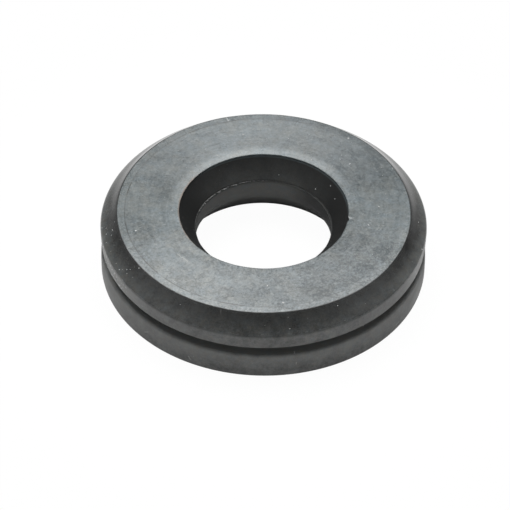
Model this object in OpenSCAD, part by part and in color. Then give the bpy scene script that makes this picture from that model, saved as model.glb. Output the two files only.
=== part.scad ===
// Moulded rubber bushing: a thick ring with a bevelled upper flange, a narrow panel groove,
// a plain lower flange and a waisted bore. Millimetres, +Z up, origin at the centre of the base.

/* [Ring] */
// Outside diameter of both flanges
outer_d = 40; // [39:0.5:46]
// Overall height
height = 8.7; // [8.5:0.1:11]
// Diameter of the flat top face
top_face_d = 35.9; // [32:0.1:38]
// Height of the bevel between the top face and the outer wall
bevel_h = 1.95; // [1.2:0.05:2.5]
// Edge radius between the bevel and the outer wall
crease_r = 0.3; // [0.1:0.05:0.5]
// Edge radius at the foot of the outer wall
foot_edge_r = 0.25; // [0.1:0.05:0.6]

/* [Groove] */
// Thickness of the lower flange
lower_flange_h = 3.4; // [2.6:0.1:3.8]
// Width of the groove that takes a panel's edge
groove_w = 1.3; // [1:0.1:1.8]
// Depth of the groove below the outer wall
groove_depth = 1.6; // [0.8:0.1:3]
// Radius at the root of the groove
groove_root_r = 0.4; // [0.1:0.05:0.45]
// Edge radius at the top of the lower flange
lower_flange_edge_r = 0.35; // [0.1:0.05:0.6]

/* [Bore] */
// Diameter of the throat, the narrowest part of the bore
throat_d = 16.6; // [14:0.1:17]
// Height of the throat's lower end above the base
throat_base_z = 4.25; // [3.6:0.05:4.4]
// Length of the throat's straight wall
throat_len = 1.55; // [1:0.05:1.8]
// Diameter of the bore at the top face
mouth_d = 20.6; // [19:0.1:22]
// Height of the straight wall just inside the top mouth
mouth_wall_h = 0.3; // [0.1:0.05:0.6]
// Diameter of the bore at the base
foot_mouth_d = 21.6; // [20:0.1:23]
// Radius that blends the throat into the lower flare
flare_blend_r = 2; // [0.5:0.1:3]
// Width of the parting step above the throat
step_w = 0.12; // [0.05:0.01:0.2]
// Height of the straight wall above the parting step
step_wall_h = 0.2; // [0.1:0.05:0.4]

/* [Hidden] */
$fn = 180;
overcut = 1;

outer_r = outer_d / 2;
top_face_r = top_face_d / 2;
throat_r = throat_d / 2;
mouth_r = mouth_d / 2;
foot_mouth_r = foot_mouth_d / 2;
step_r = throat_r + step_w;
groove_root = outer_r - groove_depth;
groove_top_z = lower_flange_h + groove_w;
throat_top_z = throat_base_z + throat_len;
step_base_z = throat_top_z + step_w;
step_top_z = step_base_z + step_wall_h;

// The crease is a circle that touches the outer wall and the bevel, where these two points lie.
bevel_run = outer_r - top_face_r;
crease_reach = crease_r * tan(atan2(bevel_run, bevel_h) / 2);
crease_low = [outer_r, height - bevel_h - crease_reach];
crease_high = [outer_r, height - bevel_h] + crease_reach * [-bevel_run, bevel_h] / norm([bevel_run, bevel_h]);

// The lower flare is the straight line from the foot mouth that just touches the blend circle.
blend_centre = [throat_r + flare_blend_r, throat_base_z];
foot_mouth = [foot_mouth_r, 0];
to_centre = blend_centre - foot_mouth;
flare_angle = atan2(to_centre.y, to_centre.x) + asin(flare_blend_r / norm(to_centre));
flare_len = sqrt(pow(norm(to_centre), 2) - pow(flare_blend_r, 2));
flare_top = foot_mouth + flare_len * [cos(flare_angle), sin(flare_angle)];

// What a rounded edge takes off a square outer corner: tip is the corner, and up is 1 where the
// material lies below it and -1 where it lies above.
module edge_rounding(tip, r, up) {
    difference() {
        translate(tip - [r, up > 0 ? r : overcut]) square([r + overcut, r + overcut]);
        translate(tip - [r, up * r]) circle(r);
    }
}

// The groove's section: straight walls and a root with rounded corners.
module groove_section() {
    translate([groove_root + groove_root_r, lower_flange_h])
        square([groove_depth + overcut, groove_w]);
    translate([groove_root, lower_flange_h + groove_root_r])
        square([groove_depth, groove_w - 2 * groove_root_r]);
    for (z = [lower_flange_h + groove_root_r, groove_top_z - groove_root_r])
        translate([groove_root + groove_root_r, z]) circle(groove_root_r);
}

// Half of the ring's section, with the bore's axis at x = 0.
module ring_section() {
    difference() {
        union() {
            polygon([
                foot_mouth,
                [outer_r, 0],
                crease_low,
                crease_high,
                [top_face_r, height],
                [mouth_r, height],
                [mouth_r, height - mouth_wall_h],
                [step_r, step_top_z],
                [step_r, step_base_z],
                [throat_r, throat_top_z],
                [throat_r, throat_base_z],
                flare_top
            ]);
            translate(blend_centre) circle(flare_blend_r);
            translate([outer_r - crease_r, crease_low.y]) circle(crease_r);
        }
        groove_section();
        edge_rounding([outer_r, 0], foot_edge_r, -1);
        edge_rounding([outer_r, lower_flange_h], lower_flange_edge_r, 1);
    }
}

module bushing() {
    color([0.17, 0.18, 0.18]) rotate_extrude() ring_section();
}

bushing();
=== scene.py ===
"""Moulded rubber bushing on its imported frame: the dressed ring, the flash on its parting line, the
dust and lint lying on it, and a plain studio stage. Lengths are metres, +Z is up and the origin is
the centre of the base. Azimuths run anticlockwise from +X, so the front is at 270 degrees. The file
is laid out as an add-on and run as a script."""
import math

import bpy
import numpy as np
from bpy.props import FloatProperty, FloatVectorProperty, IntProperty, PointerProperty
from mathutils import Matrix, Vector


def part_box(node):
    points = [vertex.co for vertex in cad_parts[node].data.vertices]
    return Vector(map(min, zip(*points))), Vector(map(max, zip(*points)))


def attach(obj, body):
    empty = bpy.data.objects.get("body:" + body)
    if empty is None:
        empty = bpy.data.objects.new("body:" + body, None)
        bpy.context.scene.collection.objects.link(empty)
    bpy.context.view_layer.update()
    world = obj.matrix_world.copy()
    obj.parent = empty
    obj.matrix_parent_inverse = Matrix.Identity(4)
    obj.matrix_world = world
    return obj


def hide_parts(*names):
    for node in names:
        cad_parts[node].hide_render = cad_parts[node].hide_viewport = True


bl_info = {
    "name": "Rubber Bushing",
    "version": (1, 0, 0),
    "blender": (4, 5, 0),
    "location": "View3D > Sidebar > Bushing",
    "description": "Dresses a moulded rubber bushing and sets its studio stage",
    "category": "Add Mesh",
}

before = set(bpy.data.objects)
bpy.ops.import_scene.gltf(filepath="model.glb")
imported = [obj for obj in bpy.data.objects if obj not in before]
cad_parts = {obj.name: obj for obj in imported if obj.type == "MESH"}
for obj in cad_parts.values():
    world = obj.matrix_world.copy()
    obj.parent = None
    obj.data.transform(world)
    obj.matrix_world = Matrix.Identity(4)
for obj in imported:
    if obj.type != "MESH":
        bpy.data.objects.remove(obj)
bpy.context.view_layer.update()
RING_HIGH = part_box("bushing")[1]
MM = 0.001
FULL_TURN = 2 * math.pi
IMAGE_SIDE = 510  # pixels


# ---------------------------------------------------------------- settings

def length(name, millimetres, description):
    """A length property, given here in millimetres and kept in metres."""
    return FloatProperty(name=name, description=description, default=millimetres * MM, min=0.0,
                         unit="LENGTH", precision=5)


def share(name, default, description):
    """A plain number from 0 to 1."""
    return FloatProperty(name=name, description=description, default=default, min=0.0, max=1.0,
                         subtype="FACTOR")


def colour(name, default, description):
    """A scene-linear colour."""
    return FloatVectorProperty(name=name, description=description, default=default, size=3,
                               min=0.0, max=1.0, subtype="COLOR")


def angle(name, degrees, description):
    """An angle, given here in degrees."""
    return FloatProperty(name=name, description=description, default=math.radians(degrees),
                         unit="ROTATION", subtype="ANGLE")


def amount(name, default, description, unit="NONE"):
    """A strength, scale or power, from 0 up."""
    return FloatProperty(name=name, description=description, default=default, min=0.0, unit=unit)


def pixels(name, default, description):
    """A distance in the image."""
    return FloatProperty(name=name, description=description, default=default, subtype="PIXEL")


def number(name, default, description):
    """A count or a seed, from 0 to 400."""
    return IntProperty(name=name, description=description, default=default, min=0, max=400)


class RingSizes(bpy.types.PropertyGroup):
    outer_radius: length("Outer radius", RING_HIGH.x / MM, "Radius of both flanges")
    height: length("Height", RING_HIGH.z / MM, "Overall height")
    top_radius: length("Top face radius", 17.95, "Radius of the flat top face")
    bevel_height: length("Bevel height", 1.95, "Height of the bevel under the top face")
    bevel_dish: length("Bevel dish", 0.065, "How far the bevel is hollowed at its middle")
    crease_radius: length("Crease radius", 0.50, "Rounding between the bevel and the outer wall")
    crease_sag: length("Crease sag", 0.25, "How far the crease hangs lower at the front")
    lip_draft: length("Lip draft", 0.08, "How far the upper flange draws in towards the groove")
    flange_height: length("Lower flange", 3.4, "Thickness of the lower flange")
    flange_lean: length("Flange lean", 0.08, "How far the lower flange draws in towards the groove")
    groove_width: length("Groove width", 1.3, "Width of the outer groove")
    groove_depth: length("Groove depth", 1.6, "Depth of the outer groove")
    throat_radius: length("Throat radius", 8.3, "Radius of the narrowest part of the bore")
    throat_base: length("Throat base", 4.25, "Height of the throat's lower end")
    throat_length: length("Throat length", 1.55, "Length of the throat's straight wall")
    mouth_radius: length("Mouth radius", 10.3, "Radius of the bore at the top face")
    mouth_wall: length("Mouth wall", 0.3, "Height of the straight wall inside the mouth")
    foot_radius: length("Foot radius", 10.8, "Radius of the bore at the base")
    flare_blend: length("Flare blend", 2.0, "Rounding between the throat and the flare below it")
    step_width: length("Parting step", 0.12, "Width of the step above the throat")
    step_wall: length("Step wall", 0.2, "Height of the wall above the step")
    rim_radius: length("Rim line radius", 17.0, "Radius of the faint line on the top face")
    rim_drop: length("Rim drop", 0.02, "Fall of the top face from that line to its edge")
    lip_radius: length("Lip radius", 11.5, "Radius at which the top face turns down to the bore")
    lip_drop: length("Lip drop", 0.045, "Fall of the top face from there to the bore")
    skin: length("Dust allowance", 0.015, "How far the top face lies below the overall height")

    @property
    def crease_z(self):
        """Height of the crease between the bevel and the outer wall."""
        return self.height - self.bevel_height

    @property
    def groove_top(self):
        """Height of the groove's upper edge."""
        return self.flange_height + self.groove_width

    @property
    def throat_top(self):
        """Height of the throat's upper end."""
        return self.throat_base + self.throat_length

    @property
    def step_z(self):
        """Height of the parting step."""
        return self.throat_top + self.step_width


class RubberFinish(bpy.types.PropertyGroup):
    wall_colour: colour("Wall", (0.004, 0.0042, 0.0041), "Bare moulded rubber")
    wall_bloom: colour("Wall bloom", (0.0515, 0.0535, 0.0515), "Rubber under a thin dry film")
    # Painted light: this pale colour lifts the shade in the groove and lights the back of the throat; it also
    # makes the lower flange and the band's ends paler.
    pale_wall_and_painted_light: colour("Groove dust", (0.16, 0.163, 0.157), "Dusty film down in the groove")
    face_colour: colour("Top face", (0.050, 0.062, 0.065), "Darkest patches of the dry top face")
    face_pale: colour("Top face, pale", (0.180, 0.200, 0.203), "Palest patches of the dry top face")
    rubbed_edge: colour("Rubbed edge", (0.20, 0.155, 0.125), "Brownish edge of the mouth on the left")
    dust_colour: colour("Dust", (0.62, 0.63, 0.62), "Dust grains and lint")
    flash_colour: colour("Flash", (0.17, 0.172, 0.17), "Thin flash on the parting line")
    wall_roughness: share("Bore roughness", 0.62, "Roughness of the bore's walls")
    bevel_roughness: share("Bevel roughness", 0.13, "Roughness of the smooth bevel")
    flange_roughness: share("Flange roughness", 0.50, "Roughness of the outer walls under the bevel")
    face_roughness: share("Top roughness", 0.28, "Roughness of the top face")
    face_anisotropy: share("Top anisotropy", 0.9, "Pull of the turned finish on the top face")


class DustSettings(bpy.types.PropertyGroup):
    seed: number("Seed", 7, "Seed of the scattered dust")
    loose_grains: number("Loose grains", 120, "Fine grains scattered besides the placed ones")
    row_grains: number("Row grains", 34, "Grains in the two rows on the left of the upper flange")
    placed_size: amount("Placed size", 1.15, "Scale of the placed grains")


class StudioStage(bpy.types.PropertyGroup):
    camera_distance: length("Camera distance", 399.0, "From the middle of the top face")
    camera_elevation: angle("Camera elevation", 42.4, "Height of the camera above the horizon")
    camera_roll: angle("Camera roll", 0.82, "Turn of the camera about its line of sight")
    camera_lens: FloatProperty(name="Lens", description="Focal length on a 36 mm sensor",
                               default=230.67, min=1.0, unit="CAMERA")
    aim_right: pixels("Aim right", 8.83, "The top's middle, right of the image's middle")
    aim_up: pixels("Aim up", 45.12, "The top's middle, above the image's middle")
    floor_radius: length("Floor radius", 900.0, "Radius of the round floor")
    floor_drop: length("Floor drop", 0.02, "How far the floor lies under the base")
    floor_colour: colour("Floor", (0.92, 0.92, 0.92), "Plain pale floor")
    horizon: amount("Horizon", 0.45, "Strength of the room just above the floor")
    sides: amount("Sides", 0.52, "Strength of the room beside the ring")
    behind: amount("Behind", 0.30, "Strength of the room behind the ring")
    camera_side: amount("Camera side", 0.22, "Strength of the room about the camera")
    key_power: amount("Key power", 5.6, "Power of the softbox behind the ring", "POWER")


# ---------------------------------------------------------------- shapes

# Numbers of the section's corners that are worked on by name, and the parts of each full turn.
FLANGE_TOP, LIP, CREASE, RIM, MOUTH = 3, 6, 7, 8, 11
RING_TURNS, FLASH_TURNS = 600, 720


def ring_corners(s):
    """The section's corners, anticlockwise from the foot of the bore: radius, height, rounding
    radius, and how many parts the side after the corner is cut into. The side from the foot mouth
    to the throat is a straight flare that touches the throat's lower rounding, so its corner is
    where that tangent line crosses the throat's wall."""
    top, step = s.height - s.skin, s.throat_radius + s.step_width
    groove = s.outer_radius - s.groove_depth
    to_centre = (s.throat_radius + s.flare_blend - s.foot_radius, s.throat_base)
    slope = math.atan2(to_centre[1], to_centre[0]) + math.asin(s.flare_blend / math.hypot(*to_centre))
    flare_top = (s.throat_radius - s.foot_radius) * math.tan(slope)
    return np.array([
        (s.foot_radius, 0.0, 0.12 * MM, 4),
        (s.outer_radius, 0.0, 0.25 * MM, 3),
        (s.outer_radius, s.flange_height - 1.7 * MM, 16.0 * MM, 3),
        (s.outer_radius - s.flange_lean, s.flange_height, 0.35 * MM, 2),
        (groove, s.flange_height, 0.40 * MM, 2),
        (groove, s.groove_top, 0.40 * MM, 2),
        (s.outer_radius - s.lip_draft, s.groove_top, 0.08 * MM, 3),
        (s.outer_radius, s.crease_z, s.crease_radius, 9),
        (s.top_radius, top - s.rim_drop, 0.25 * MM, 3),
        (s.rim_radius, top, 0.80 * MM, 8),
        (s.lip_radius, top, 12.0 * MM, 2),
        (s.mouth_radius, top - s.lip_drop, 0.10 * MM, 1),
        (s.mouth_radius, s.height - s.mouth_wall, 0.08 * MM, 7),
        (step, s.step_z + s.step_wall, 0.15 * MM, 1),
        (step, s.step_z, 0.04 * MM, 1),
        (s.throat_radius, s.throat_top, 0.07 * MM, 3),
        (s.throat_radius, flare_top, s.flare_blend, 5),
    ])


def rounded_section(corners, arc_points=5, support=0.05 * MM):
    """A closed path with rounded corners, as arrays of radius, height and owner. The owner of a
    point is its corner's number less a half on a rounding, and the number itself on the side after.

    At each corner the rounding is the circle that touches both neighbouring sides: it touches them
    at rounding radius / tan(half the corner's angle) from the corner. Each side has a support point
    near each end, so that the smooth shading of the rounding stays on the rounding."""
    tip, rounding = corners[:, :2], corners[:, 2:3]
    to_last, to_next = np.roll(tip, 1, axis=0) - tip, np.roll(tip, -1, axis=0) - tip
    to_last /= np.linalg.norm(to_last, axis=1, keepdims=True)
    to_next /= np.linalg.norm(to_next, axis=1, keepdims=True)
    half = np.arccos(np.clip((to_last * to_next).sum(1, keepdims=True), -1, 1)) / 2
    bisector = to_last + to_next
    bisector /= np.linalg.norm(bisector, axis=1, keepdims=True)
    centre = tip + bisector * rounding / np.sin(half)
    start = tip + to_last * rounding / np.tan(half)
    end = tip + to_next * rounding / np.tan(half)
    t = np.linspace(0.0, 1.0, arc_points)[None, :, None]
    sweep = (math.pi - 2 * half)[:, :, None]
    a, b = (start - centre)[:, None, :], (end - centre)[:, None, :]
    arcs = centre[:, None, :] + (np.sin((1 - t) * sweep) * a + np.sin(t * sweep) * b) / np.sin(sweep)
    path, owner = [], []
    for i, parts in enumerate(corners[:, 3].astype(int)):
        side = start[(i + 1) % len(tip)] - end[i]
        edge = min(support / np.linalg.norm(side), 0.2)
        cuts = np.concatenate([[edge], np.linspace(edge, 1 - edge, parts + 1)[1:-1], [1 - edge]])
        path += [arcs[i], end[i] + cuts[:, None] * side]
        owner += [np.full(arc_points, i - 0.5), np.full(len(cuts), float(i))]
    path = np.concatenate(path)
    return path[:, 0], path[:, 1], np.concatenate(owner)


def ripple(azimuth, seed, waves, falloff=1.0):
    """An uneven closed wave round the ring: the sum over n of cos(n azimuth + a random phase) times
    n to the power of minus falloff, scaled so that its mean square is one."""
    rng = np.random.default_rng(seed)
    n = np.arange(waves[0], waves[1] + 1)[:, None]
    phase = rng.uniform(0, FULL_TURN, n.shape)
    size = rng.uniform(0.5, 1.0, n.shape) * n ** -falloff
    wave = (np.cos(n * azimuth[None, :] + phase) * size).sum(0)
    return wave / np.sqrt((size ** 2).sum() / 2)


def bump_at(distance, width):
    """A soft bump: 1 at no distance, falling as exp(-(distance / width) squared)."""
    return np.exp(-(distance / width) ** 2)


def turn_apart(azimuth, degrees):
    """Signed angle from a direction in degrees, wrapped to between minus pi and pi."""
    return (azimuth - math.radians(degrees) + math.pi) % FULL_TURN - math.pi


def front_sag(s, azimuth):
    """How far the crease hangs lower: a soft bump round the front, 0.95 radians wide."""
    return s.crease_sag * bump_at(turn_apart(azimuth, 262.0), 0.95)


def sag_share(away, blunt=0.12):
    """The share of that sag which a point takes: 1 at the crease, and 0 where away is -1 or 1. With
    b for blunt and e for sqrt(1 + b squared) it is (e - sqrt(away squared + b squared)) / (e - b)."""
    edge = np.hypot(1.0, blunt)
    return (edge - np.hypot(away, blunt)) / (edge - blunt)


def bevel_hollow(s, u):
    """How far the bevel is hollowed: sin(pi u) to the power 1.5, where u runs across it from 0 to 1."""
    return s.bevel_dish * np.sin(math.pi * u) ** 1.5


def full_circle(turns):
    """Azimuths evenly round the ring."""
    return np.linspace(0, FULL_TURN, turns, endpoint=False)


def lathe_object(name, radius, height):
    """A closed surface of revolution: x = radius cos azimuth, y = radius sin azimuth, z = height,
    where radius and height are given for every azimuth (rows) and path point (columns). It faces
    outwards when the columns run anticlockwise round the section."""
    rows, columns = radius.shape
    azimuth = full_circle(rows)[:, None]
    points = np.stack([radius * np.cos(azimuth), radius * np.sin(azimuth), height], axis=-1)
    i, j = np.meshgrid(np.arange(rows), np.arange(columns), indexing="ij")
    after_i, after_j = (i + 1) % rows, (j + 1) % columns
    corners = [i * columns + j, after_i * columns + j, after_i * columns + after_j, i * columns + after_j]
    return mesh_object(name, points.reshape(-1, 3), np.stack(corners, -1).reshape(-1, 4))


def mesh_object(name, points, faces):
    """A smooth mesh object from an array of points and an array of faces with equal corner counts."""
    mesh = bpy.data.meshes.new(name)
    count, sides = faces.shape
    mesh.vertices.add(len(points))
    mesh.vertices.foreach_set("co", np.ascontiguousarray(points, np.float32).ravel())
    mesh.loops.add(faces.size)
    mesh.loops.foreach_set("vertex_index", faces.astype(np.int32).ravel())
    mesh.polygons.add(count)
    mesh.polygons.foreach_set("loop_start", np.arange(0, faces.size, sides, dtype=np.int32))
    mesh.polygons.foreach_set("use_smooth", np.ones(count, bool))
    mesh.update(calc_edges=True)
    mesh.validate()
    made = bpy.data.objects.new(name, mesh)
    bpy.context.scene.collection.objects.link(made)
    return made


# ---------------------------------------------------------------- shader nodes

def sign(operation, swapped=False):
    """A method that works a Value and another number out with one Math node."""
    def method(self, other=0.0):
        a, b = (other, self) if swapped else (self, other)
        return self.nodes.maths(operation, a, b)
    return method


class Value:
    """A number worked out by shader nodes. The signs of arithmetic add Math nodes to it."""

    def __init__(self, nodes, socket):
        self.nodes, self.socket = nodes, socket

    __add__ = __radd__ = sign("ADD")
    __mul__ = __rmul__ = sign("MULTIPLY")
    __sub__, __rsub__ = sign("SUBTRACT"), sign("SUBTRACT", swapped=True)
    __truediv__ = sign("DIVIDE")
    __abs__ = sign("ABSOLUTE")


class Nodes:
    """Adds shader nodes to one tree, which is emptied first."""

    def __init__(self, tree):
        self.tree = tree
        tree.nodes.clear()

    def add(self, kind, inputs=None, **settings):
        """A shader node with its settings made and its inputs either linked or set."""
        made = self.tree.nodes.new(kind)
        for key, value in settings.items():
            setattr(made, key, value)
        for key, value in (inputs or {}).items():
            value = getattr(value, "socket", value)
            if isinstance(value, bpy.types.NodeSocket):
                self.tree.links.new(value, made.inputs[key])
            else:
                made.inputs[key].default_value = value
        return made

    def maths(self, operation, a, b=0.0, clamp=False):
        """One Math node's value."""
        made = self.add("ShaderNodeMath", {0: a, 1: b}, operation=operation, use_clamp=clamp)
        return Value(self, made.outputs[0])

    def vectors(self, operation, a, b):
        """One Vector Math node's result: a vector, or a value where the operation gives one."""
        inputs = {0: a, "Scale": b} if operation == "SCALE" else {0: a, 1: b}
        made = self.add("ShaderNodeVectorMath", inputs, operation=operation)
        if operation in ("DOT_PRODUCT", "DISTANCE"):
            return Value(self, made.outputs["Value"])
        return made.outputs[0]

    def parts(self, vector):
        """The x, y and z of a vector."""
        return [Value(self, part) for part in self.add("ShaderNodeSeparateXYZ", {0: vector}).outputs]

    def ray(self, *names):
        """1 where the ray is of one of the named kinds, and 0 elsewhere."""
        outputs = self.add("ShaderNodeLightPath").outputs
        return self.most(*[Value(self, outputs[name]) for name in names])

    def ramp(self, value, low, high, to_low=0.0, to_high=1.0, smooth=True):
        """A value mapped from low..high to to_low..to_high, held beyond, and eased when smooth."""
        inputs = {"Value": value, "From Min": low, "From Max": high, "To Min": to_low, "To Max": to_high}
        kind = "SMOOTHSTEP" if smooth else "LINEAR"
        made = self.add("ShaderNodeMapRange", inputs, interpolation_type=kind)
        return Value(self, made.outputs["Result"])

    def grade(self, value, start, end, to_low=0.0, to_high=1.0, at=0.0, smooth=True):
        """A ramp of a length: start and end are millimetres from the length at."""
        return self.ramp(value, at + start * MM, at + end * MM, to_low, to_high, smooth)

    def most(self, *values):
        """The largest of several values."""
        found = values[0]
        for value in values[1:]:
            found = self.maths("MAXIMUM", found, value)
        return found

    def mixed(self, factor, a, b):
        """Two numbers mixed by a factor."""
        return Value(self, self.add("ShaderNodeMix", {0: factor, 2: a, 3: b}).outputs[0])

    def blend(self, factor, a, b, mode="MIX", clamp=True):
        """Two colours mixed by a factor, which is held between 0 and 1 unless clamp is off."""
        a, b = (c if isinstance(c, bpy.types.NodeSocket) else (*c, 1.0) for c in (a, b))
        return self.add("ShaderNodeMix", {0: factor, 6: a, 7: b}, data_type="RGBA", blend_type=mode,
                        clamp_factor=clamp).outputs[2]

    def shaders(self, factor, a, b):
        """Two shaders mixed by a factor."""
        return self.add("ShaderNodeMixShader", {0: factor, 1: a, 2: b}).outputs[0]


class Coat(Nodes):
    """A new material, with its object coordinates, their parts and the distance from the axis."""

    def __init__(self, name):
        self.material = bpy.data.materials.new(name)
        self.material.use_nodes = True
        super().__init__(self.material.node_tree)
        self.at = self.add("ShaderNodeTexCoord").outputs["Object"]
        self.x, self.y, self.z = self.parts(self.at)
        self.radius = self.maths("SQRT", self.x * self.x + self.y * self.y)

    def noise(self, grain, detail, roughness, seed, swirl=0.0, at=None):
        """Noise of features about grain millimetres across, moved by seed and drawn out by swirl."""
        moved = self.vectors("ADD", at or self.at, (seed, seed * 0.7, -seed))
        inputs = {"Vector": moved, "Scale": 1.0 / (grain * MM), "Detail": detail, "Roughness": roughness,
                  "Distortion": swirl}
        return Value(self, self.add("ShaderNodeTexNoise", inputs, noise_dimensions="3D").outputs["Fac"])

    def tinted(self, base, grain, depth):
        """A colour made here a little warmer and there a little cooler."""
        warm, cool = (1.0 + depth, 1.0, 1.0 - depth), (1.0 - depth, 1.0, 1.0 + depth)
        drift = self.ramp(self.noise(grain, 3.0, 0.9, 2.1), 0.35, 0.65, smooth=False)
        return self.blend(1.0, base, self.blend(drift, warm, cool), mode="MULTIPLY")

    def specks(self, spacing, size, kept, seed):
        """Small round marks, one in each of a share of the cells. Spacing and size in millimetres."""
        moved = self.vectors("ADD", self.at, (seed, -seed, seed))
        inputs = {"Vector": moved, "Scale": 1.0 / (spacing * MM), "Randomness": 1.0}
        cell = self.add("ShaderNodeTexVoronoi", inputs, feature="F1").outputs
        dot = self.ramp(Value(self, cell["Distance"]), size / spacing, 0.35 * size / spacing)
        luck = self.add("ShaderNodeSeparateColor", {0: cell["Color"]}).outputs[0]
        return dot * self.maths("LESS_THAN", luck, kept)

    def toward(self, direction):
        """How far a point lies along a direction."""
        return self.vectors("DOT_PRODUCT", self.at, direction)

    def scratches(self, rows):
        """Scratches: 1 on the straight lines from start to end, falling to 0 at width beside them."""
        found = []
        for start, end, width in rows:
            start, end = Vector(start) * MM, Vector(end) * MM
            along = end - start
            offset = self.vectors("SUBTRACT", self.at, start)
            share_along = self.vectors("DOT_PRODUCT", offset, along / along.length_squared)
            foot = self.vectors("SCALE", along, self.maths("ADD", share_along, 0.0, clamp=True))
            apart = self.vectors("DISTANCE", offset, foot)
            found.append(self.grade(apart, width, width * 0.3))
        return self.most(*found)

    def surfaced(self, shader):
        """The material, ended with a shader."""
        self.add("ShaderNodeOutputMaterial", {"Surface": shader})
        return self.material

    def rubber(self, base, roughness, ior, height=None, relief=0.0, sheen=None):
        """The material, ended with one Principled shader. Height x relief raises its surface."""
        inputs = {"Base Color": base, "Roughness": roughness, "IOR": ior, **(sheen or {})}
        if height:
            raised = self.add("ShaderNodeBump", {"Height": height, "Strength": 0.5, "Distance": relief})
            inputs["Normal"] = raised.outputs[0]
        return self.surfaced(self.add("ShaderNodeBsdfPrincipled", inputs).outputs[0])


# ---------------------------------------------------------------- materials

# Scratches: start and end in millimetres, and width in millimetres.
WALL_MARKS = (
    ((-4.92, -17.41, 8.55), (-4.91, -17.98, 7.96), 0.09),
    ((-14.13, -14.15, 1.43), (-13.71, -14.56, 1.83), 0.09),
    ((-8.75, -17.98, 1.22), (-8.55, -18.08, 0.82), 0.09),
    ((4.14, -19.56, 2.05), (4.10, -19.56, 1.75), 0.08),
    ((16.56, -11.21, 0.93), (16.19, -11.73, 0.82), 0.09),
)
FACE_MARKS = (
    ((-10.30, -8.05, 8.7), (-9.75, -8.75, 8.7), 0.10),
    ((-9.70, -8.60, 8.7), (-9.05, -9.35, 8.7), 0.10),
    ((-4.95, 17.40, 8.7), (-4.60, 16.50, 8.7), 0.12),
)
# Layers of the top face's mottling: grain in millimetres, roughness, seed, swirl and weight.
FACE_LAYERS = ((0.19, 0.7, 0.4, 0.0, 3.3), (0.43, 0.7, 0.9, 0.0, 2.3), (1.05, 0.6, 0.7, 0.8, 1.0),
               (2.3, 0.6, 0.2, 1.2, 0.9), (5.5, 0.5, 1.1, 1.0, 1.8))
# Soft sectors of painted sheen and painted shade on the top face: middle and half width in degrees, and how
# much paler they are.
FACE_SHEEN_SECTORS = ((0.0, 22.0, 0.18), (33.0, 20.0, -0.08), (97.0, 30.0, 0.19), (150.0, 25.0, -0.16),
               (310.0, 36.0, -0.26))
# Painted shade: the top face is painted darker towards the back right and paler towards the front left.
SHADED_SIDE = (0.70, 0.70, 0.0)  # towards the back right, where the top face is darker
RUBBER_IOR = 1.5
WALL_IOR = 1.6
BORE_IOR = 1.4


def film_and_painted_light(m, s, f, outside, mottle, grain):
    """Rubber under its dry film, with painted light. Outside, the film is painted thicker down the bevel
    as a painted reflection, and towards the bevel's left and right ends there is painted shade above
    and a painted reflection below. Inside, painted light lies on the back of the bore, most low down
    and on the left, and on the parting step."""
    # The dry film, painted thicker down the bevel as a painted reflection, so the bevel is paler lower down.
    film = outside * m.ramp(m.z, s.height, s.crease_z - 0.5 * MM, 0.36, 0.92)
    # Painted light on the back of the bore, most low down and on the left.
    inside = m.grade(m.y, 2.0, 8.5) * m.ramp(m.z, s.height, s.throat_base, 0.15, 0.95)
    inside *= m.grade(m.x, 2.5, 7.0, 1.0, 0.6)
    # Painted light on the parting step, which hides the step's shade.
    step_painted_light = m.grade(abs(m.z - s.step_z), 0.30, 0.05, 0.0, 0.8)
    film += m.most(inside, step_painted_light) * (1.0 - outside)
    # The mottling is stronger below the crease than on the bevel, and weaker in the bore.
    gain = m.mixed(outside, 1.8, m.grade(m.z, -0.6, -0.2, 5.0, 2.4, at=s.crease_z))
    # Painted shade along the top of the bevel and a painted reflection lower down, towards its left and right
    # ends, a little less on the left.
    ends = m.grade(abs(m.x), 13.0, 18.5) * m.grade(m.x, -16.0, 16.0, 0.8, 1.0)
    ends *= m.grade(m.z, -0.4, 0.1, at=s.crease_z)
    ends *= m.ramp(m.z, s.height - 0.2 * MM, s.crease_z + 0.2 * MM, -0.7, 0.62)
    swing = (mottle - 0.5) * gain + (grain - 0.5) + ends * outside
    return m.vectors("SCALE", m.blend(film, f.wall_colour, f.wall_bloom), swing + 1.0)


def wall_pale_and_painted_light(m, s, outside, inward):
    """How much pale colour the walls take, and how far a point is on the left or right end of the upper band.
    The pale colour is painted light in the groove, where it lifts the shade, and on the back of the
    throat. The lower flange is paler towards its shoulder and at its right end, and the band at both ends."""
    aside = abs(m.x)
    # Painted light that lifts the shade down in the groove.
    groove_painted_light = m.grade(m.z, -0.2, 0.1, at=s.flange_height) * m.grade(m.z, 0.01, -0.05, at=s.groove_top)
    groove_painted_light *= m.grade(m.radius, -0.1, -0.5, at=s.outer_radius)
    shoulder = m.grade(m.z, 0.8, 2.9, 0.0, 0.42)
    shoulder *= m.grade(m.z, 0.05, -0.05, at=s.flange_height)
    right = m.grade(m.x, 17.2, 18.8, 0.0, 0.40) * m.grade(m.z, 3.0, 2.0)
    flange = m.most(shoulder, right) * m.grade(aside, 19.75, 19.0)
    band = m.grade(m.z, -0.01, 0.1, at=s.groove_top) * m.grade(m.z, 0.1, -0.4, at=s.crease_z)
    band *= m.most(m.grade(m.x, -13.0, -18.5), m.grade(m.x, 17.0, 18.8))
    band *= m.grade(aside, 19.80, 19.2)
    # Painted light on the back of the throat, paler higher up.
    throat = m.grade(m.z, 0.1, -0.4, at=s.step_z) * m.grade(m.z, 1.0, 4.5, 0.10, 0.45)
    throat *= m.grade(m.y - m.x * 0.50, 3.0, 8.0)
    return m.most(groove_painted_light * outside, outside * flange, band * 0.45, inward * throat), band


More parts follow.
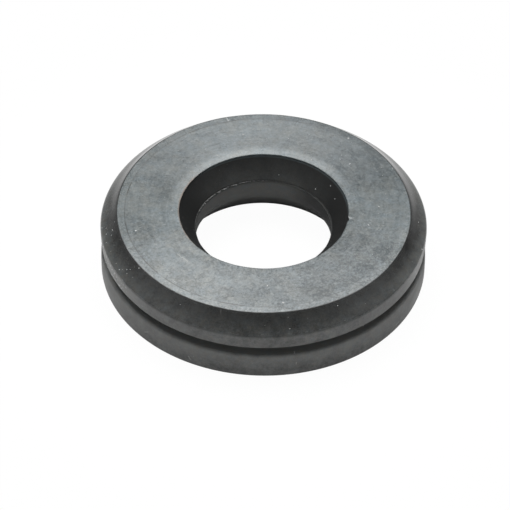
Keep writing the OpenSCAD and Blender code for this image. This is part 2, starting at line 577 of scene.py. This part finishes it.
def wall_specks(m, outside, inward, band):
    """How strong the specks and scratches are: fine specks everywhere, and dense ones on both ends
    of the band and on the front left of the bore."""
    fine = m.specks(0.9, 0.11, 0.30, 0.2) * 0.10 * m.ramp(outside, 0.0, 1.0, 0.45, 1.0)
    in_front = m.grade(m.y, 1.0, -2.0, 0.0, 0.07) * inward
    in_front *= m.grade(m.x, 3.0, -5.0, 0.15, 1.0)
    dense = m.specks(0.50, 0.20, 0.35, 0.5) * m.most(band * 0.40, in_front)
    return m.most(fine, dense, m.scratches(WALL_MARKS) * 0.18)


def wall_roughness(m, s, f, outside, mottle):
    """Roughness: the bevel is smooth but for its edges, the lower flange is rougher towards the
    groove, and the bore has its own."""
    flange = m.ramp(m.z, 0.5 * MM, s.flange_height, f.flange_roughness - 0.08, f.flange_roughness + 0.16)
    flange = m.mixed(m.ramp(m.z, s.flange_height, s.groove_top), flange, f.flange_roughness - 0.06)
    rough = m.mixed(m.grade(m.z, -0.45, 0.30, at=s.crease_z), flange, f.bevel_roughness)
    rough += m.grade(m.z, -0.45, -0.10, 0.0, 0.2, at=s.height)
    return m.mixed(outside, f.wall_roughness, rough) + m.ramp(mottle, 0.3, 0.7, -0.06, 0.06, smooth=False)


def wall_material(s, f, name, ior):
    """Moulded black rubber: bare in the bore but for painted light on its back, under a dry film outside,
    painted paler in the groove as painted light, and mottled at every scale, with specks and scratches."""
    m = Coat(name)
    mottle, grain = m.noise(1.8, 4.0, 0.85, 0.3), m.noise(0.16, 2.0, 0.6, 0.1)
    outside = m.grade(m.radius, 0.0, 2.0, at=s.mouth_radius)
    inward = 1.0 - outside
    base = film_and_painted_light(m, s, f, outside, mottle, grain)
    # The pale colour: painted light in the groove and on the back of the throat, and paler on the lower
    # flange and the band's ends.
    dusty, band = wall_pale_and_painted_light(m, s, outside, inward)
    base = m.blend(dusty, base, f.pale_wall_and_painted_light)
    # Painted light: the straight wall just inside the mouth is painted paler at the back right.
    lip = m.grade(m.z, -0.48, -0.30, 0.0, 0.90, at=s.height)
    lip *= m.grade(m.y + m.x * 0.35, 2.0, 7.0)
    base = m.blend(inward * lip, base, f.face_colour)
    base = m.tinted(base, 0.8, 0.06)
    base = m.blend(wall_specks(m, outside, inward, band), base, f.dust_colour)
    rough = wall_roughness(m, s, f, outside, mottle)
    return m.rubber(base, rough, ior, grain + mottle * 2.0, 0.004 * MM)


def face_tone(m, s, layers):
    """How pale the top face is, from 0 to 1 and a little beyond: mottled, most at the front, with faint
    turned streaks, painted shade towards the back right, soft sectors of painted sheen and painted shade,
    painted light on the lip at the back, a darker band at the mouth's edge, and painted light and shade
    outside the rim line, paler towards the front."""
    tone = sum((layer - 0.5) * row[-1] for layer, row in zip(layers, FACE_LAYERS))
    tone *= m.grade(m.y, -13.0, 1.0, 0.62, 0.32)
    # The streaks are long round the ring and 0.3 mm across it.
    stretched = m.add("ShaderNodeCombineXYZ", {0: m.radius * 12.0, 1: m.x, 2: m.y}).outputs[0]
    tone += m.noise(3.6, 2.0, 0.6, 0.7, at=stretched) * 0.6 - 0.3
    # Painted shade towards the back right.
    tone += m.grade(m.toward(SHADED_SIDE), -15.0, 15.0, 0.19, -0.19, smooth=False)
    # Soft sectors of painted sheen and painted shade.
    for degrees, width, depth in FACE_SHEEN_SECTORS:
        way = (math.cos(math.radians(degrees)), math.sin(math.radians(degrees)), 0.0)
        tone += m.ramp(m.toward(way) / m.radius, math.cos(math.radians(width)), 1.0, 0.0, depth)
    # Painted light on the lip: paler towards the mouth at the back, most towards the back left. The mouth's
    # very edge is darker.
    painted_lip_light_and_edge = m.ramp(m.radius, s.lip_radius + 0.8 * MM, s.mouth_radius + 0.3 * MM)
    painted_lip_light_and_edge *= m.grade(m.y - m.x * 0.32, -6.0, 9.0, 0.0, 0.55)
    painted_lip_light_and_edge += m.grade(m.radius, 0.25, 0.0, 0.0, -0.6, at=s.mouth_radius)
    # Painted light and shade outside the rim line: darker at the back and paler at the front, less so on the
    # left.
    rim_painted_light = m.grade(m.radius, -0.4, 0.3, at=s.rim_radius)
    rim_painted_light *= m.grade(m.y, 14.0, -6.0, -0.22, 0.28, smooth=False)
    rim_painted_light *= m.grade(m.x, -12.0, 2.0, 0.25, 1.0)
    return m.most(tone + rim_painted_light + painted_lip_light_and_edge + 0.5, -0.1)


def face_material(s, f):
    """The dry top face: paler than the walls and ground in circles, with a faint broken line near
    its edge, a dark edge, and a mouth that is rubbed brown on the left."""
    m = Coat("dry_rubber_face")
    layers = [m.noise(grain, 1.0, rough, seed, swirl) for grain, rough, seed, swirl, _ in FACE_LAYERS]
    base = m.blend(face_tone(m, s, layers), f.face_colour, f.face_pale, clamp=False)
    line = m.grade(abs(m.radius - s.rim_radius), 0.11, 0.03)
    broken = m.ramp(m.noise(2.0, 2.0, 0.5, 1.3), 0.40, 0.60, 0.40, 0.90)
    broken *= m.grade(m.x, 12.0, 0.0, 0.1, 1.0)
    base = m.blend(line * broken, base, f.wall_bloom)
    edge = m.grade(m.radius, -0.12, -0.03, 0.0, 0.7, at=s.top_radius)
    base = m.blend(edge, base, f.wall_colour)
    rubbed = m.grade(m.radius, 0.30, 0.10, 0.0, 0.65, at=s.mouth_radius)
    base = m.blend(m.grade(m.x, -7.5, -9.5) * rubbed, base, f.rubbed_edge)
    for grain in (0.6, 6.0):
        base = m.tinted(base, grain, 0.035)
    fine = m.specks(1.0, 0.10, 0.25, 0.6) * 0.22
    base = m.blend(m.most(fine, m.scratches(FACE_MARKS) * 0.30), base, f.dust_colour)
    finest, fine_layer, _, smudge, _ = layers
    rough = m.ramp(smudge, 0.3, 0.7, f.face_roughness - 0.02, f.face_roughness + 0.03)
    ground = m.add("ShaderNodeTangent", direction_type="RADIAL", axis="Z").outputs[0]
    sheen = {"Anisotropic": f.face_anisotropy, "Anisotropic Rotation": 0.25, "Tangent": ground}
    return m.rubber(base, rough, RUBBER_IOR, finest + fine_layer * 1.5, 0.008 * MM, sheen)


def flash_material(f):
    """Thin pale flash, broken up along its length."""
    m = Coat("parting_flash_rubber")
    torn = m.ramp(m.noise(0.35, 3.0, 0.7, 0.2), 0.42, 0.62)
    return m.rubber(m.blend(torn, f.wall_bloom, f.flash_colour), 0.7, RUBBER_IOR)


def dust_material(f):
    """Dry dust and lint, from grey to nearly white."""
    m = Coat("dust_and_lint")
    tone = m.ramp(m.noise(1.5, 2.0, 0.6, 0.8), 0.3, 0.7)
    return m.rubber(m.blend(tone, [0.55 * c for c in f.dust_colour], f.dust_colour), 0.85, 1.45)


# ---------------------------------------------------------------- pieces

class BUSHING_OT_ring(bpy.types.Operator):
    """Build the moulded ring: a surface of revolution with slightly uneven edges"""
    bl_idname = "bushing.ring"
    bl_label = "Build Ring"

    def execute(self, context):
        s, f = context.scene.bushing_sizes, context.scene.bushing_finish
        corners = ring_corners(s)
        r, z, owner = rounded_section(corners)
        ring = lathe_object("bushing_rubber", *self.worn_grid(s, corners, r, z, owner))
        for made in (wall_material(s, f, "moulded_rubber", WALL_IOR), face_material(s, f),
                     wall_material(s, f, "moulded_rubber_bore", BORE_IOR)):
            ring.data.materials.append(made)
        ring.data.polygons.foreach_set("material_index", np.tile(self.slots(s, r, z), RING_TURNS))
        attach(ring, "root")
        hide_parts("bushing")
        return {"FINISHED"}

    def worn_grid(self, s, corners, r, z, owner):
        """Radius and height at every azimuth (rows) and section point (columns)."""
        azimuth = full_circle(RING_TURNS)
        radius = np.repeat(r[None, :], RING_TURNS, axis=0)
        height = np.repeat(z[None, :], RING_TURNS, axis=0)

        def near(corner, width):
            return bump_at(np.hypot(r - corners[corner][0], z - corners[corner][1]), width * MM)[None, :]

        def wave(seed, waves, size):
            return (ripple(azimuth, seed, waves) * size * MM)[:, None]

        # The bevel is hollowed along its own normal, between its two roundings.
        low, high = corners[CREASE][:2], corners[RIM][:2]
        start, end = z[owner == CREASE - 0.5].max(), z[owner == CREASE + 0.5].min()
        hollow = bevel_hollow(s, np.clip((z - start) / (end - start), 0, 1) * (owner == CREASE))
        normal = np.array([high[1] - low[1], low[0] - high[0]]) / np.linalg.norm(high - low)
        radius -= normal[0] * hollow
        height -= normal[1] * hollow
        # Edges wander a little, but none of them leaves the ring's box.
        radius += near(RIM, 0.5) * wave(11, (2, 40), 0.018)
        height += near(LIP, 0.35) * wave(12, (3, 60), 0.018)
        height += near(CREASE, 0.5) * wave(13, (2, 14), 0.02)
        # The crease hangs lower at the front, while the lip below it and the rim above it stay level.
        away = np.interp(z, [corners[LIP][1], low[1], high[1]], [-1.0, 0.0, 1.0])
        height -= (sag_share(away) * (r > s.rim_radius))[None, :] * front_sag(s, azimuth)[:, None]
        radius += near(MOUTH, 0.4) * wave(14, (2, 50), 0.015)
        radius -= near(FLANGE_TOP, 0.5) * np.abs(wave(15, (2, 30), 0.02))
        # A small nick at the mouth's edge.
        nick = bump_at(turn_apart(azimuth, 352.2), math.radians(1.6))[:, None] * near(MOUTH, 0.22)
        return radius + 0.16 * MM * nick, height - 0.10 * MM * nick

    def slots(self, s, r, z):
        """The material of each side of the section: 0 outside, 1 on the top face and 2 in the bore.
        The top face lies within 0.045 mm of the overall height, or 0.09 mm near the bore."""
        middle_r, middle_z = (r + np.roll(r, -1)) / 2, (z + np.roll(z, -1)) / 2
        face_low = np.where(middle_r < s.lip_radius, s.height - 0.09 * MM, s.height - 0.045 * MM)
        on_face = (middle_z > face_low) & (middle_r > s.mouth_radius + 0.07 * MM)
        in_bore = ~on_face & (middle_r < s.foot_radius + 0.2 * MM)
        return np.select([on_face, in_bore], [1, 2], 0).astype(np.int32)


class BUSHING_OT_flash(bpy.types.Operator):
    """Build the thin ragged flash left on the bore's parting line"""
    bl_idname = "bushing.flash"
    bl_label = "Build Flash"

    def execute(self, context):
        s, f = context.scene.bushing_sizes, context.scene.bushing_finish
        azimuth = full_circle(FLASH_TURNS)
        # Its width: a thin skin all round, and a ragged stretch at the back left.
        ragged = np.clip(0.70 + 0.4 * ripple(azimuth, 21, (20, 160), 0.3), 0.1, 1.5)
        stretch = bump_at(turn_apart(azimuth, 135.0), math.radians(26.0)) ** 0.7
        width = (0.012 + 0.26 * ragged * stretch) * MM
        root, line = s.throat_radius + s.step_width + 0.02 * MM, s.step_z + 0.04 * MM
        lift = 0.05 * MM * ripple(azimuth, 23, (10, 120), 0.4) * stretch
        # Its section is a thin wedge, given as shares of its width and as heights.
        wedge = np.array([0.0, 0.55, 1.0, 0.55, 0.0])
        thickness = np.array([0.06, 0.045, 0.0, -0.045, -0.06]) * MM
        radius = root - width[:, None] * wedge
        height = line + thickness + lift[:, None] * wedge
        flash = lathe_object("parting_flash", radius, height)
        flash.data.materials.append(flash_material(f))
        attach(flash, "root")
        return {"FINISHED"}


# Placed grains: azimuth in degrees, radius and height in millimetres, and size in millimetres.
PLACED_GRAINS = (
    (123.4, 13.3, 8.69, 0.16), (101.1, 14.2, 8.69, 0.20), (58.1, 11.0, 8.68, 0.16),
    (52.4, 17.1, 8.68, 0.22), (26.8, 17.8, 8.66, 0.18), (45.5, 13.4, 8.69, 0.14),
    (39.4, 13.7, 8.69, 0.22), (16.6, 10.9, 8.68, 0.14), (12.2, 15.3, 8.69, 0.16),
    (9.3, 15.3, 8.69, 0.14), (3.7, 14.1, 8.69, 0.16), (349.2, 13.0, 8.69, 0.20),
    (194.8, 16.0, 8.69, 0.20), (181.3, 11.2, 8.68, 0.16), (278.6, 16.4, 8.69, 0.28),
    (272.4, 13.4, 8.69, 0.24), (78.3, 8.90, 6.69, 0.12), (44.3, 8.88, 6.67, 0.14),
    (33.8, 9.86, 7.86, 0.14), (22.6, 9.46, 7.38, 0.14), (185.1, 19.56, 7.16, 0.12),
    (189.5, 19.42, 7.30, 0.14), (191.8, 18.92, 7.75, 0.13), (192.4, 19.70, 7.03, 0.12),
    (204.7, 19.55, 7.17, 0.12), (208.0, 19.61, 7.11, 0.15), (209.2, 19.35, 7.35, 0.12),
    (210.7, 19.07, 7.63, 0.12), (211.9, 18.82, 7.86, 0.12), (346.4, 19.85, 6.89, 0.20),
    (357.9, 18.97, 7.72, 0.12),
    # Four flecks in the mouth of the groove.
    (281.2, 19.86, 3.50, 0.10), (281.3, 19.86, 3.66, 0.09), (281.2, 19.88, 3.84, 0.08),
    (307.4, 19.88, 4.60, 0.11),
)


def grain_shells(centres, sizes, normals, seed):
    """Closed lumps, one for each centre: a ball of 3 rows of 6 points and two poles, squashed to
    about a fifth along the surface's normal, its radius changed at random from point to point."""
    rng = np.random.default_rng(seed)
    count, rows, k = len(centres), 3, 6
    lat = np.linspace(-math.pi / 2, math.pi / 2, rows + 2)[1:-1]
    lon = full_circle(k)
    unit = np.stack([np.outer(np.cos(lat), np.cos(lon)), np.outer(np.cos(lat), np.sin(lon)),
                     np.outer(np.sin(lat), np.ones(k))], -1).reshape(-1, 3)
    unit = np.concatenate([[[0, 0, -1.0]], unit, [[0, 0, 1.0]]])
    shape = unit[None] * rng.uniform(0.65, 1.15, (count, len(unit), 1))
    stretch = rng.uniform(0.7, 1.3, (count, 1, 3)) * np.array([1, 1, 0.22])
    shape *= stretch * (sizes[:, None, None] / 2)
    helper = np.where(np.abs(normals[:, 2:3]) > 0.9, [[1.0, 0, 0]], [[0, 0, 1.0]])
    side = np.cross(helper, normals)
    side /= np.linalg.norm(side, axis=1, keepdims=True)
    other = np.cross(normals, side)
    turn = rng.uniform(0, FULL_TURN, (count, 1))
    axes = (np.cos(turn) * side + np.sin(turn) * other, np.cos(turn) * other - np.sin(turn) * side, normals)
    placed = centres[:, None] + sum(shape[..., i:i + 1] * axis[:, None] for i, axis in enumerate(axes))
    ring = 1 + np.arange(k)
    after = 1 + (np.arange(k) + 1) % k
    last_row = (rows - 1) * k
    faces = [np.stack([np.zeros(k, int), after, ring], 1)]
    for row in range(0, last_row, k):
        faces += [np.stack([ring, after, k + after], 1) + row, np.stack([ring, k + after, k + ring], 1) + row]
    faces.append(np.stack([np.full(k, len(unit) - 1), last_row + ring, last_row + after], 1))
    faces = np.concatenate(faces)[None] + len(unit) * np.arange(count)[:, None, None]
    return placed.reshape(-1, 3), faces.reshape(-1, 3)


def surface_normals(radius, height, azimuth, s):
    """Outward normals of the wall that carries a grain: up on the top face, square to the bevel
    outside it, in and up on the bore's cone, and straight out on the band and the lower flange."""
    slope = np.array([s.bevel_height, s.outer_radius - s.top_radius])
    slope = slope / np.linalg.norm(slope)
    on_top = height > s.height - 0.06 * MM
    in_bore = (radius < s.mouth_radius) & ~on_top
    on_bevel = (height > s.crease_z) & ~on_top & ~in_bore
    out = np.select([on_top, in_bore, on_bevel], [0.0, -0.77, slope[0]], 1.0)
    up = np.select([on_top, in_bore, on_bevel], [1.0, 0.64, slope[1]], 0.0)
    return np.stack([out * np.cos(azimuth), out * np.sin(azimuth), up], 1)


class BUSHING_OT_dust(bpy.types.Operator):
    """Lay dust grains and lint on the ring"""
    bl_idname = "bushing.dust"
    bl_label = "Lay Dust"

    def execute(self, context):
        s, f = context.scene.bushing_sizes, context.scene.bushing_finish
        d = context.scene.bushing_dust
        rng = np.random.default_rng(d.seed)
        placed = np.array(PLACED_GRAINS) * (math.radians(1.0), MM, MM, d.placed_size * MM)
        grains = np.concatenate([placed, self.loose(s, rng, d.loose_grains), self.rows(s, rng, d.row_grains)])
        azimuth, radius, height, size = grains.T
        normals = surface_normals(radius, height, azimuth, s)
        centres = np.stack([radius * np.cos(azimuth), radius * np.sin(azimuth), height], 1)
        # Grains on the bevel follow its hollow and its hanging crease.
        u = np.clip((radius - s.top_radius) / (s.outer_radius - s.top_radius), 0, 1)
        on_bevel = (normals[:, 2] > 0.5) & (normals[:, 2] < 0.99) & (radius > s.top_radius)
        centres -= normals * (on_bevel * bevel_hollow(s, u))[:, None]
        centres[:, 2] -= on_bevel * u * front_sag(s, azimuth)
        points, faces = grain_shells(centres, size, normals, d.seed + 1)
        points[:, 2] = np.minimum(points[:, 2], s.height)
        dust = mesh_object("surface_dust", points, faces)
        dust.data.materials.append(dust_material(f))
        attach(dust, "root")
        return {"FINISHED"}

    def loose(self, s, rng, n):
        """Fine grains: about three quarters evenly over the top face, and the rest on the bevel.
        About half of those on the bevel lie in the dusty sector on its left."""
        on_top = rng.random(n) < 0.75
        t = rng.random(n)
        top_r = np.sqrt(s.lip_radius ** 2 + t * (s.rim_radius ** 2 - s.lip_radius ** 2))
        across = 0.08 + 0.84 * t
        bevel_r = s.top_radius + across * (s.outer_radius - s.top_radius)
        around = rng.uniform(0, FULL_TURN, n)
        dusty = ~on_top & (rng.random(n) < 0.5)
        return np.stack([
            np.where(dusty, math.radians(182.0) + around * 0.1, around),
            np.where(on_top, top_r, bevel_r),
            np.where(on_top, s.height - s.skin, s.height - across * s.bevel_height),
            rng.uniform(0.05, 0.10, n) * np.where(dusty, 1.4, 1.0) * MM,
        ], 1)

    def rows(self, s, rng, n):
        """Two uneven rows of grains on the left of the band: above the groove and under the crease."""
        height = np.where(rng.random(n) < 0.5, 5.2, 6.12) * MM + rng.normal(0.0, 0.05, n) * MM
        azimuth = np.radians(rng.uniform(194.0, 216.0, n))
        return np.stack([azimuth, np.full(n, s.outer_radius), height, rng.uniform(0.12, 0.25, n) * MM], 1)


# ---------------------------------------------------------------- stage

class BUSHING_OT_stage(bpy.types.Operator):
    """Set the pale floor, the room, the softbox and the camera"""
    bl_idname = "bushing.stage"
    bl_label = "Set Stage"

    def execute(self, context):
        g, s = context.scene.bushing_stage, context.scene.bushing_sizes
        self.lay_floor(g)
        self.light_room(context, g)
        self.hang_softbox(context, g)
        self.aim_camera(context, g, s)
        context.scene.view_settings.view_transform = "Standard"
        return {"FINISHED"}

    def lay_floor(self, g):
        """A round floor of rings and spokes, closer together towards its middle."""
        turns, rings = 96, 12
        azimuth = full_circle(turns)
        reach = g.floor_radius * (np.arange(1, rings + 1) / rings) ** 1.6
        points = np.stack([np.outer(reach, np.cos(azimuth)), np.outer(reach, np.sin(azimuth)),
                           np.zeros((rings, turns))], -1).reshape(-1, 3)
        points = np.concatenate([[[0.0, 0.0, 0.0]], points]) - (0, 0, g.floor_drop)
        i, j = np.meshgrid(np.arange(rings - 1), np.arange(turns), indexing="ij")
        a, b = 1 + i * turns + j, 1 + i * turns + (j + 1) % turns
        middle = [np.zeros(turns, int), 1 + np.arange(turns), 1 + (np.arange(turns) + 1) % turns]
        faces = np.concatenate([np.stack([a, a + turns, b + turns], -1).reshape(-1, 3),
                                np.stack([a, b + turns, b], -1).reshape(-1, 3), np.stack(middle, -1)])
        floor = mesh_object("pale_floor", points, faces)
        floor.data.materials.append(self.floor_paper(g))

    def floor_paper(self, g):
        """Pale paper that holds the ring's shadow near the ring, is white to the camera farther out,
        is seen lit in reflections on the ring, and is clear from below."""
        m = Coat("pale_floor_paper")
        in_camera = m.ray("Is Camera Ray")
        mirrored = m.ray("Is Glossy Ray", "Is Transmission Ray")
        under = m.grade(m.radius, 10.0, 20.0, 0.04, 0.50)
        beside = m.grade(m.radius, 21.0, 30.0, 0.0, 0.50)
        seen = in_camera * m.grade(m.radius, 20.0, 50.0, 0.97, 1.0)
        far = m.grade(m.radius, 30.0, 110.0, 1.0, 0.45, smooth=False)
        white = m.add("ShaderNodeEmission", {"Color": (1, 1, 1, 1), "Strength": m.most(far, in_camera)})
        paper = m.add("ShaderNodeBsdfDiffuse", {"Color": (*g.floor_colour, 1.0)})
        lit = m.shaders(m.most(seen, mirrored * (under + beside)), paper.outputs[0], white.outputs[0])
        below = m.add("ShaderNodeNewGeometry").outputs["Backfacing"]
        return m.surfaced(m.shaders(below, lit, m.add("ShaderNodeBsdfTransparent").outputs[0]))

    def light_room(self, context, g):
        """The room: white to the camera. To the ring it is an even grey low down, and higher up
        dimmer behind the ring and about the camera."""
        world = bpy.data.worlds.new("studio_room")
        world.use_nodes = True
        m = Nodes(world.node_tree)
        way = m.add("ShaderNodeTexCoord").outputs["Generated"]
        _, back, up = m.parts(way)
        camera_way = Vector((0.05, -0.64, 0.77)).normalized()
        light = m.mixed(m.ramp(back, -0.1, 0.5), g.sides, g.behind)
        light = m.mixed(m.ramp(m.vectors("DOT_PRODUCT", way, camera_way), 0.6, 0.97), light, g.camera_side)
        light = m.mixed(m.ramp(up, 0.12, 0.0), light, g.horizon)
        backdrop = m.add("ShaderNodeBackground", {"Color": (1, 1, 1, 1), "Strength": 1.0}).outputs[0]
        room = m.add("ShaderNodeBackground", {"Color": (0.98, 0.99, 1.0, 1), "Strength": light}).outputs[0]
        m.add("ShaderNodeOutputWorld", {"Surface": m.shaders(m.ray("Is Camera Ray"), room, backdrop)})
        context.scene.world = world

    def hang_softbox(self, context, g):
        """A softbox high behind the ring and slightly left of it, which it faces."""
        azimuth, elevation, distance = math.radians(100.0), math.radians(68.0), 0.62
        lamp = bpy.data.lights.new("softbox_behind", "AREA")
        lamp.shape, lamp.size, lamp.size_y, lamp.energy = "RECTANGLE", 0.62, 0.46, g.key_power
        level = math.cos(elevation)
        way = Vector((level * math.cos(azimuth), level * math.sin(azimuth), math.sin(elevation)))
        box = bpy.data.objects.new("softbox_behind", lamp)
        box.location = way * distance
        box.rotation_euler = (-way).to_track_quat("-Z", "Y").to_euler()
        context.scene.collection.objects.link(box)

    def aim_camera(self, context, g, s):
        """The camera looks at the middle of the top face, which it holds off the image's middle."""
        lens = bpy.data.cameras.new("studio_camera")
        lens.sensor_width, lens.lens = 36.0, g.camera_lens
        lens.clip_start, lens.clip_end = 0.01, 10.0
        e = g.camera_elevation
        level = Matrix(((1, 0, 0), (0, math.sin(e), -math.cos(e)), (0, math.cos(e), math.sin(e))))
        focal = g.camera_lens / lens.sensor_width * IMAGE_SIDE
        held = Vector((g.aim_right, g.aim_up, -focal))
        off_middle = Vector((0, 0, -1)).rotation_difference(held).to_matrix()
        turned = level @ Matrix.Rotation(g.camera_roll, 3, "Z") @ off_middle.inverted()
        back = Vector((0, -math.cos(e), math.sin(e))) * g.camera_distance
        camera = bpy.data.objects.new("studio_camera", lens)
        camera.matrix_world = Matrix.Translation(Vector((0, 0, s.height)) + back) @ turned.to_4x4()
        context.scene.collection.objects.link(camera)
        context.scene.camera = camera


class BUSHING_PT_panel(bpy.types.Panel):
    """Builds and dresses the bushing"""
    bl_idname = "BUSHING_PT_panel"
    bl_label = "Rubber Bushing"
    bl_space_type = "VIEW_3D"
    bl_region_type = "UI"
    bl_category = "Bushing"

    def draw(self, context):
        for operator in OPERATORS:
            self.layout.operator(operator.bl_idname)
        for name, group in GROUPS.items():
            box = self.layout.box()
            for key in group.__annotations__:
                box.prop(getattr(context.scene, name), key)


OPERATORS = (BUSHING_OT_ring, BUSHING_OT_flash, BUSHING_OT_dust, BUSHING_OT_stage)
GROUPS = {"bushing_sizes": RingSizes, "bushing_finish": RubberFinish, "bushing_dust": DustSettings,
          "bushing_stage": StudioStage}


def register():
    for kind in (*GROUPS.values(), *OPERATORS, BUSHING_PT_panel):
        bpy.utils.register_class(kind)
    for name, group in GROUPS.items():
        setattr(bpy.types.Scene, name, PointerProperty(type=group))


def unregister():
    for name in GROUPS:
        delattr(bpy.types.Scene, name)
    for kind in (BUSHING_PT_panel, *reversed(OPERATORS), *GROUPS.values()):
        bpy.utils.unregister_class(kind)


def main():
    """Builds every piece and the stage."""
    register()
    bpy.ops.bushing.ring()
    bpy.ops.bushing.flash()
    bpy.ops.bushing.dust()
    bpy.ops.bushing.stage()


if __name__ == "__main__":
    main()
